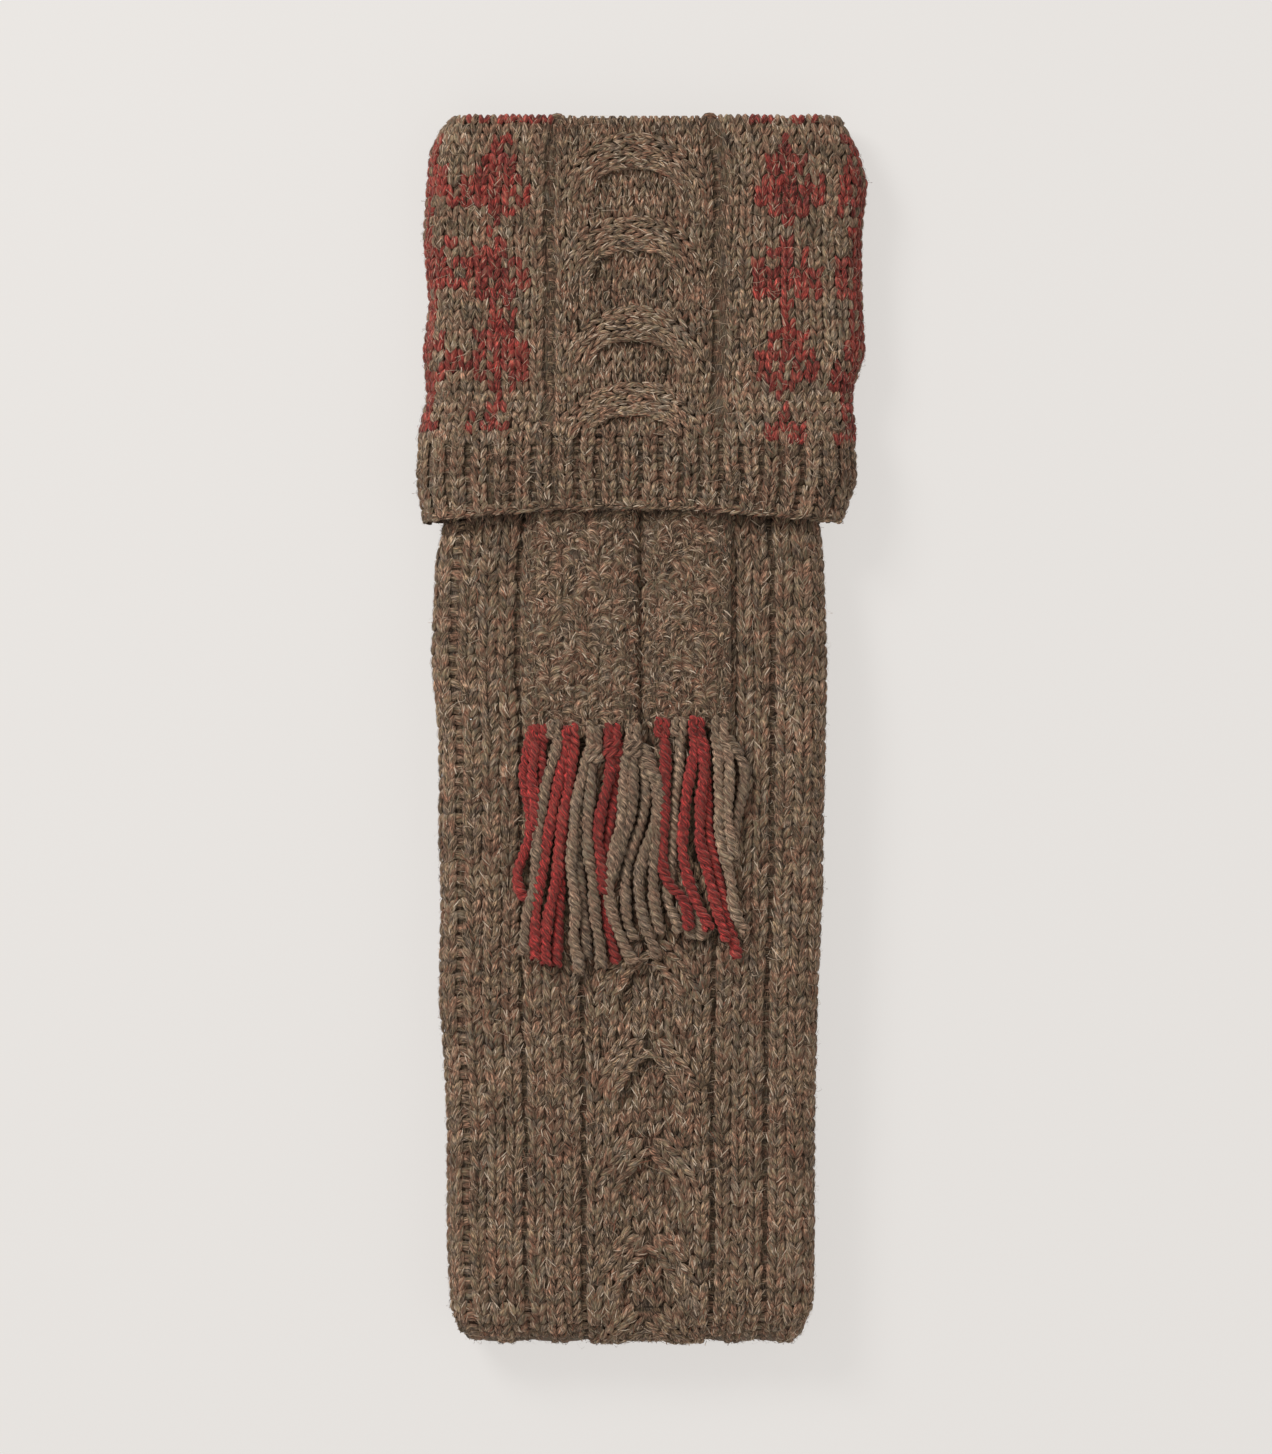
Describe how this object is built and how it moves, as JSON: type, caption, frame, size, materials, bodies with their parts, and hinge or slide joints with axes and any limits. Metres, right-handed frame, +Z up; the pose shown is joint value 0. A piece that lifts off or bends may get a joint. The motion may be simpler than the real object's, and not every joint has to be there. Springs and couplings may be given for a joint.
{
  "type": "field sock",
  "caption": "Knitted field sock lying flat, foot folded under, with a turned-down patterned cuff, ribbed cabled leg and a garter with fringed tabs.",
  "frame": {"origin": "middle of the footprint, on the surface the sock lies on", "axes": "+Y along the leg towards the cuff's turned top edge, +Z up off the surface, +X to the right seen from above"},
  "size_m": [0.1256, 0.3454, 0.0271],
  "materials": {
    "marl_wool": "ribbed and cabled knitting in heathered taupe brown wool, matt and slightly fuzzy",
    "cuff_wool": "taupe brown marl knitting with madder red diamond colour-work, matt and slightly fuzzy",
    "garter_wool": "basket stitch in the same taupe brown wool, matt",
    "fringe_marl": "plied taupe brown wool yarn, matt",
    "fringe_madder": "plied madder red wool yarn, matt"
  },
  "bodies": {
    "root": {"leg_top": "marl_wool", "calf": "marl_wool", "leg": "marl_wool", "ankle": "marl_wool", "heel": "marl_wool", "foot": "marl_wool", "toe": "marl_wool", "cuff": "cuff_wool", "cuff_welt": "cuff_wool", "garter_band": "garter_wool", "garter_tab_left": "garter_wool", "garter_tab_right": "garter_wool", "tassel_1_red": "fringe_madder", "tassel_2_brown": "fringe_marl", "tassel_3_red": "fringe_madder", "tassel_4_brown": "fringe_marl", "tassel_5_red": "fringe_madder", "tassel_6_brown": "fringe_marl", "tassel_7_red": "fringe_madder", "tassel_8_brown": "fringe_marl", "tassel_9_red": "fringe_madder", "tassel_10_brown": "fringe_marl"}
  },
  "joints": []
}
